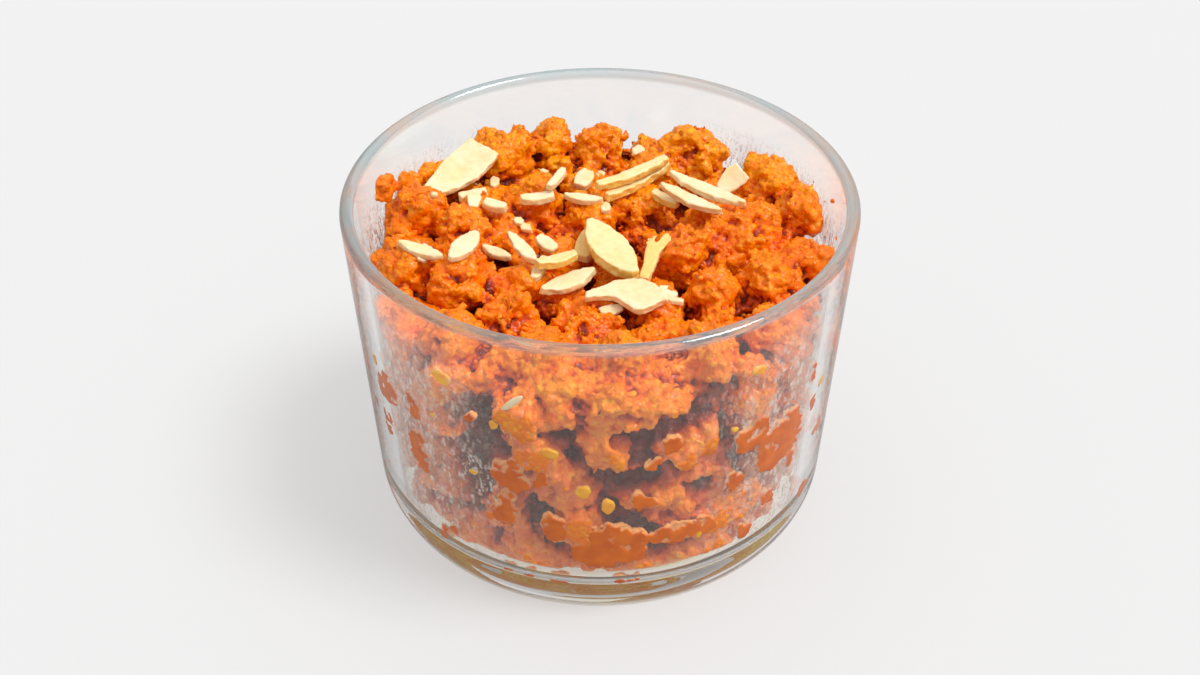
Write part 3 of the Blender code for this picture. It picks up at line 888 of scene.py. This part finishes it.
def makeChips(heap, material):
    tree = treeOf(heap)
    dice = random.Random(chips["seed"])
    made = []
    for x, y, length, turn in chips["spots"]:
        hit, normal = tree.ray_cast(Vector((x * mm, y * mm, 0.1)), Vector((0.0, 0.0, -1.0)))[:2]
        deselectAll()
        bpy.ops.mesh.primitive_cylinder_add(vertices=dice.choice((4, 5, 6)), radius=0.58, depth=1.0)
        chip = bpy.context.object
        bpy.ops.object.mode_set(mode="EDIT")
        bpy.ops.transform.vertex_random(offset=0.10, uniform=0.6, seed=len(made))
        bpy.ops.object.mode_set(mode="OBJECT")
        width = min(chips["width"] * dice.uniform(0.7, 1.15), length * mm)
        chip.scale = (length * mm, width, chips["thickness"])
        lean = Vector((0.0, 0.0, 1.0)).lerp(normal, 0.4).to_track_quat("Z", "Y")
        chip.rotation_euler = (lean.to_matrix() @ Matrix.Rotation(math.radians(turn), 3, "Z")).to_euler()
        chip.location = hit + Vector((0.0, 0.0, 0.2 * mm))
        made.append(chip)
    piece = joined(made, "nut_chips")
    voxelRemesh(piece, 0.20 * mm)
    soften(piece, 0.5, 2)
    relief(piece, "CLOUDS", 1.0 * mm, 0.15 * mm)
    applyAll(piece)
    dress(piece, material, "almond")
    print("scene: almond chips", len(piece.data.polygons), "faces")


# loose crumbs on the heap

looseCrumbs = {
    "perMetre": 90000.0,
    "width": 1.0 * mm,
    "sizes": (0.5, 1.15),
    "facing": 0.25,
    "seed": 41,
}


def crumbMaterial():
    material, tree, shader, where = newMaterial("looseCrumb")
    shade = attributeOf(tree, "shade")
    colour = ramp(tree, shade, (0.0, (0.88, 0.18, 0.003, 1.0)), (0.5, (0.96, 0.24, 0.005, 1.0)),
                  (0.9, (1.0, 0.29, 0.009, 1.0)), (1.0, (1.0, 0.38, 0.02, 1.0)))
    fine = noiseAt(tree, where, 1600.0, 3.0, 0.6)
    freckle = ramp(tree, fine, (0.36, (0.78, 0.62, 0.50, 1.0)), (0.55, grey(1.0)))
    tree.links.new(mixed(tree, 0.5, colour, freckle, "MULTIPLY"), shader.inputs["Base Color"])
    setInputs(shader, Roughness=0.40, IOR=1.45, Subsurface_Weight=0.25,
              Subsurface_Radius=(1.0, 0.32, 0.10), Subsurface_Scale=0.8 * mm)
    bump(tree, shader, fine, 0.7, 0.3 * mm)
    return material


def makeLooseCrumbs(heap, nuts):
    c = looseCrumbs
    piece = twinOf(heap, "loose_crumbs")
    lumps = [makeLump("grain" + str(i), c["width"], 2, 0.12, c["seed"] + i) for i in range(5)]
    scatterOn(piece, lumps, c["perMetre"], c["sizes"], c["seed"], keep=False, facing=c["facing"])
    remove(*lumps)
    keepInside(piece, treeOf(*nuts))
    dress(piece, crumbMaterial(), "halwa")
    print("scene: loose crumbs", len(piece.data.polygons), "faces")


# crumbs that stick to the glass above the heap, and a sliver of almond low on the front wall

wallCrumbs = {
    # angle and height on the wall, and width
    "spots": ((162.6, 59.4, 4.8), (151.5, 54.8, 4.8), (144.5, 53.8, 4.6), (6.2, 60.3, 1.4),
              (12.0, 57.5, 1.0), (170.0, 57.0, 1.0), (-4.0, 57.0, 1.4), (20.0, 58.0, 0.9)),
    "seed": 61,
}
wallSliver = {
    "angle": math.radians(-109.4),
    "height": 51.0 * mm,
    "size": (5.6 * mm, 0.9 * mm, 1.3 * mm),
    "tilt": math.radians(47.0),
}


def makeWallCrumbs(material):
    made = []
    for angle, height, width in wallCrumbs["spots"]:
        turn = math.radians(angle)
        knobs = 5 if width > 3.0 else 1
        dice = random.Random(int(angle * 10))
        for knob in range(knobs):
            knobWidth = width * mm * (0.75 if knobs > 1 else 1.0)
            lump = makeLump("bit", knobWidth, 3, 0.10, wallCrumbs["seed"] + len(made))
            side = dice.uniform(-0.4, 0.4) * width * mm if knob else 0.0
            up = dice.uniform(-0.35, 0.35) * width * mm if knob else 0.0
            reach = wallRadius(height * mm + up) - 0.26 * width * mm
            lump.location = (reach * math.cos(turn) - side * math.sin(turn),
                             reach * math.sin(turn) + side * math.cos(turn), height * mm + up)
            made.append(lump)
    piece = joined(made, "wall_crumbs")
    voxelRemesh(piece, 0.30 * mm)
    relief(piece, "VORONOI", 1.6 * mm, -1.0 * mm, 0.3)
    relief(piece, "CLOUDS", 0.7 * mm, 0.4 * mm)
    applyAll(piece)
    keepInside(piece)
    dress(piece, material, "halwa")
    print("scene: crumbs on the wall", len(piece.data.polygons), "faces")


def makeWallSliver(material):
    s = wallSliver
    deselectAll()
    bpy.ops.mesh.primitive_ico_sphere_add(subdivisions=3, radius=0.5)
    piece = bpy.context.object
    piece.name = "nut_wall_sliver"
    bpy.ops.object.mode_set(mode="EDIT")
    bpy.ops.transform.vertex_random(offset=0.03, seed=7)
    bpy.ops.object.mode_set(mode="OBJECT")
    piece.scale = s["size"]
    reach = wallRadius(s["height"]) - s["size"][1] * 0.6
    across = Matrix.Rotation(s["angle"] + math.pi / 2, 3, "Z")
    piece.rotation_euler = (across @ Matrix.Rotation(-s["tilt"], 3, "Y")).to_euler()
    piece.location = (reach * math.cos(s["angle"]), reach * math.sin(s["angle"]), s["height"])
    placeInMesh(piece)
    voxelRemesh(piece, 0.2 * mm)
    soften(piece, 0.5, 3)
    applyAll(piece)
    keepInside(piece)
    dress(piece, material, "almond")
    print("scene: sliver on the wall")


# smears and oil where the sweet touches the glass: angle, height, width, height of each, in degrees and mm

smears = {
    "spots": ((-111.0, 34.4, 7.4, 8.0), (-103.2, 34.9, 3.1, 4.5), (-112.8, 26.6, 4.8, 10.2),
              (-87.8, 19.9, 13.9, 11.5), (-69.6, 21.3, 13.3, 6.1), (-100.6, 24.0, 5.0, 6.6),
              (-52.8, 38.6, 8.0, 8.1), (-43.2, 33.5, 12.7, 12.8), (-149.0, 39.8, 8.3, 8.5),
              (-137.5, 40.9, 3.9, 6.0), (-137.7, 31.0, 5.0, 11.0), (-113.5, 10.4, 2.6, 2.2),
              (-108.0, 10.2, 2.2, 1.8), (-100.5, 9.6, 2.8, 1.8), (-82.5, 10.6, 6.0, 2.6),
              (-33.0, 44.5, 2.6, 5.0), (-30.0, 36.0, 2.4, 4.0), (-45.0, 20.5, 3.4, 5.0),
              (-52.0, 15.5, 4.0, 4.0), (-38.0, 27.0, 2.4, 4.4)),
    "more": 110,
    "moreHeights": (11.0, 46.0),
    "moreSizes": (1.0, 5.5),
    "seed": 23,
    "depth": 1.1 * mm,
    "voxel": 0.30 * mm,
    "ragged": 2.4 * mm,
    "intoWall": 0.07 * mm,
}
oil = {
    "spots": ((-93.9, 33.2, 2.7, 2.9), (-88.5, 30.1, 3.0, 4.6), (-126.7, 51.9, 3.8, 2.6),
              (-114.1, 45.3, 1.8, 2.2), (-101.3, 41.5, 3.2, 2.1), (-53.2, 53.3, 3.0, 1.9)),
    "more": 22,
    "moreHeights": (12.0, 50.0),
    "moreSizes": (0.8, 2.4),
    "seed": 31,
    "depth": 0.8 * mm,
    "voxel": 0.22 * mm,
    "ragged": 0.9 * mm,
    "intoWall": 0.09 * mm,
}


def wallSpots(kind):
    # the stated spots, and others all round that keep away from them
    dice = random.Random(kind["seed"])
    spots = list(kind["spots"])
    for i in range(kind["more"]):
        angle = 360.0 * (i + dice.random()) / kind["more"]
        z = dice.uniform(*kind["moreHeights"])
        width = dice.uniform(*kind["moreSizes"])
        tall = width * dice.uniform(0.7, 1.5)
        near = any(abs((angle - a + 180.0) % 360.0 - 180.0) < 12.0 and abs(z - b) < 8.0
                   for a, b, w, t in kind["spots"])
        if not near:
            spots.append((angle, z, width, tall))
    return spots


def makeWallPatches(kind, name):
    dice = random.Random(kind["seed"] + 1)
    blobs = []
    for angle, z, width, tall in wallSpots(kind):
        count = 2 + int(width * tall / 12.0)
        for i in range(count):
            share = 1.0 if count < 3 else dice.uniform(0.45, 0.8)
            aside = dice.uniform(-0.5, 0.5) * (1.0 - share) * width * mm
            turn = math.radians(angle) + aside / wallRadius(z * mm)
            height = z * mm + dice.uniform(-0.5, 0.5) * (1.0 - share) * tall * mm
            radius = wallRadius(height) - 0.3 * kind["depth"]
            deselectAll()
            bpy.ops.mesh.primitive_ico_sphere_add(subdivisions=3, radius=1.0)
            blob = bpy.context.object
            blob.scale = (kind["depth"] * 0.8, share * width * mm / 2, share * tall * mm / 2)
            blob.rotation_euler = (0.0, 0.0, turn)
            blob.location = (radius * math.cos(turn), radius * math.sin(turn), height)
            blobs.append(blob)
    piece = joined(blobs, name)
    voxelRemesh(piece, kind["voxel"])
    relief(piece, "CLOUDS", 2.6 * mm, kind["ragged"], 0.55)
    relief(piece, "CLOUDS", 1.0 * mm, 0.55 * kind["ragged"])
    applyAll(piece)
    places = cornersOf(piece)
    away = np.zeros(len(places))
    for i, (x, y, z) in enumerate(places):
        z = max(z, bowl["floor"] + 0.3 * mm)
        r = math.hypot(x, y)
        limit = wallRadius(z) + kind["intoWall"]
        share = min(1.0, limit / r)
        places[i] = (x * share, y * share, z)
        away[i] = (limit - r * share) / (0.5 * mm)
    setCorners(piece, places)
    # "away" is 0 where a patch touches the glass and grows where it curves back from it
    markCorners(piece, "away", away)
    print("scene:", name, len(piece.data.polygons), "faces")
    return piece


def makeSmears():
    piece = makeWallPatches(smears, "wall_smears")
    material, tree, shader, where = newMaterial("smearedHalwa")
    blotch = noiseAt(tree, where, 380.0, 3.0)
    colour = ramp(tree, blotch, (0.36, (0.66, 0.115, 0.001, 1.0)), (0.64, (0.80, 0.170, 0.001, 1.0)))
    outer = ramp(tree, attributeOf(tree, "away"), (0.15, grey(0.0)), (0.70, grey(1.0)))
    colour = mixed(tree, outer, colour, (0.95, 0.42, 0.12, 1.0))
    tree.links.new(colour, shader.inputs["Base Color"])
    setInputs(shader, Roughness=0.6, IOR=1.15, Subsurface_Weight=0.2,
              Subsurface_Radius=(1.0, 0.32, 0.10), Subsurface_Scale=0.8 * mm)
    dress(piece, material, "halwa")


def makeOil():
    piece = makeWallPatches(oil, "oil_spots")
    material, tree, shader, where = newMaterial("yellowOil")
    blotch = noiseAt(tree, where, 500.0, 2.0)
    colour = ramp(tree, blotch, (0.35, (0.92, 0.36, 0.004, 1.0)), (0.65, (0.98, 0.50, 0.010, 1.0)))
    tree.links.new(colour, shader.inputs["Base Color"])
    setInputs(shader, Roughness=0.18, IOR=1.46, Subsurface_Weight=0.5,
              Subsurface_Radius=(1.0, 0.6, 0.15), Subsurface_Scale=1.2 * mm)
    dress(piece, material, "halwa")


# the film of fine droplets that clouds the inside of the glass

film = {
    "low": 11.0 * mm,
    "top": 60.0 * mm,
    "topWave": 1.5 * mm,
    "outerGap": 0.10 * mm,
    "thickness": 0.03 * mm,
    "sides": 144,
    "rings": 14,
    "fadeEdges": (51.0 * mm, 59.0 * mm),
    "hazeEdges": (36.0 * mm, 44.0 * mm),
    "flankEdges": (13.0 * mm, 38.0 * mm),
    "hollowEdges": (4.0 * mm, 9.0 * mm),
    "beadedHollow": (-21.9 * mm, -34.7 * mm, 31.5 * mm),
}


def makeFilm():
    f = film
    heights = [f["low"] + (f["top"] - f["low"]) * i / f["rings"] for i in range(f["rings"] + 1)]
    outline = [(wallRadius(z) - f["outerGap"], z) for z in heights]
    outline += [(wallRadius(z) - f["outerGap"] - f["thickness"], z) for z in reversed(heights)]
    piece = ringWall(outline, f["sides"], "glass_film")
    bpy.ops.mesh.select_all(action="DESELECT")
    bpy.ops.mesh.select_non_manifold()
    bpy.ops.mesh.bridge_edge_loops()
    bpy.ops.mesh.select_all(action="SELECT")
    bpy.ops.mesh.normals_make_consistent(inside=False)
    bpy.ops.object.mode_set(mode="OBJECT")
    placeInMesh(piece)
    places = cornersOf(piece)
    for i, (x, y, z) in enumerate(places):
        share = max(0.0, (z - 45.0 * mm) / (f["top"] - 45.0 * mm))
        wave = noise.noise(Vector((x, y, 0.0)) * 60.0) + 0.5 * noise.noise(Vector((x, y, 0.0)) * 150.0)
        places[i, 2] = z + wave * share * f["topWave"]
        fit = (wallRadius(places[i, 2]) - wallRadius(z) + math.hypot(x, y)) / math.hypot(x, y)
        places[i, 0] = x * fit
        places[i, 1] = y * fit
    setCorners(piece, places)

    material, tree, shader, where = newMaterial("dropletFilm")
    slant = addNode(tree, "ShaderNodeMapping")
    slant.inputs["Scale"].default_value = (1.0, 1.0, 0.45)
    slant.inputs["Rotation"].default_value = (0.0, math.radians(24.0), 0.0)
    tree.links.new(where, slant.inputs["Vector"])
    drops, bent = bentCells(tree, where, slant.outputs[0], 420.0, 3.0, 0.0028, 1250.0)
    bead = ramp(tree, drops["Distance"], (0.34, grey(1.0)), (0.48, grey(0.0)))
    area = noiseAt(tree, slant.outputs[0], 110.0, 4.0, 0.6)
    patch = ramp(tree, area, (0.34, grey(0.0)), (0.44, grey(1.0)))
    beads = mixed(tree, 1.0, bead, patch, "MULTIPLY")
    # more of it on the two flanks than at front and back, and over one hollow at the front left
    place = channels(tree, where)
    out = channels(tree, place["X"], "ShaderNodeMath", operation="ABSOLUTE")[0]
    flank = ranged(tree, out, *f["flankEdges"], 0.02, 1.0)
    hollow = ranged(tree, distanceFrom(tree, where, f["beadedHollow"]), *f["hollowEdges"], 0.7, 0.0)
    beads = mixed(tree, 1.0, beads, combined(tree, "MAXIMUM", flank, hollow), "MULTIPLY")
    haze = ramp(tree, area, (0.35, grey(0.0)), (0.70, grey(0.02)))
    under = ranged(tree, place["Z"], *f["hazeEdges"], 1.0, 0.0, smooth=False)
    haze = mixed(tree, 1.0, haze, under, "MULTIPLY")
    amount = mixed(tree, 0.5, haze, beads, "ADD")
    # runs of thin fat between the drops on the flanks
    runs = noiseAt(tree, bent, 260.0, 4.0, 0.65)
    fat = ramp(tree, runs, (0.42, grey(0.0)), (0.56, grey(0.26)))
    fat = mixed(tree, 1.0, fat, flank, "MULTIPLY")
    amount = mixed(tree, 1.0, amount, fat, "ADD")
    # the film thins out towards its upper edge
    fade = ranged(tree, place["Z"], *f["fadeEdges"], 1.0, 0.0, smooth=False)
    amount = mixed(tree, 1.0, amount, fade, "MULTIPLY")
    # some drops are painted bright and some dark: painted glints and painted shade of the drops
    dropTone = channels(tree, drops["Color"], "ShaderNodeSeparateColor")[0]
    tint = ramp(tree, dropTone, (0.26, (0.46, 0.22, 0.10, 1.0)), (0.40, (0.90, 0.50, 0.28, 1.0)),
                (0.62, (0.98, 0.86, 0.76, 1.0)))
    tree.links.new(tint, shader.inputs["Base Color"])
    setInputs(shader, Roughness=0.20, IOR=1.40)
    bump(tree, shader, drops["Distance"], 0.8, -0.3 * mm)
    clear = addNode(tree, "ShaderNodeBsdfTransparent")
    surface = mixedShaders(tree, amount, clear.outputs[0], shader.outputs[0])
    tree.links.new(surface, tree.nodes["Material Output"].inputs["Surface"])
    dress(piece, material, "glass")
    print("scene: film on the glass", len(piece.data.polygons), "faces")


makeView()
makeGlass()
nuts, cream = makeAlmonds()
top = makeHalwa(treeOf(*nuts))
makeChips(top, cream)
makeLooseCrumbs(top, nuts)
makeWallCrumbs(top.data.materials[0])
makeWallSliver(cream)
makeSmears()
makeOil()
makeFilm()
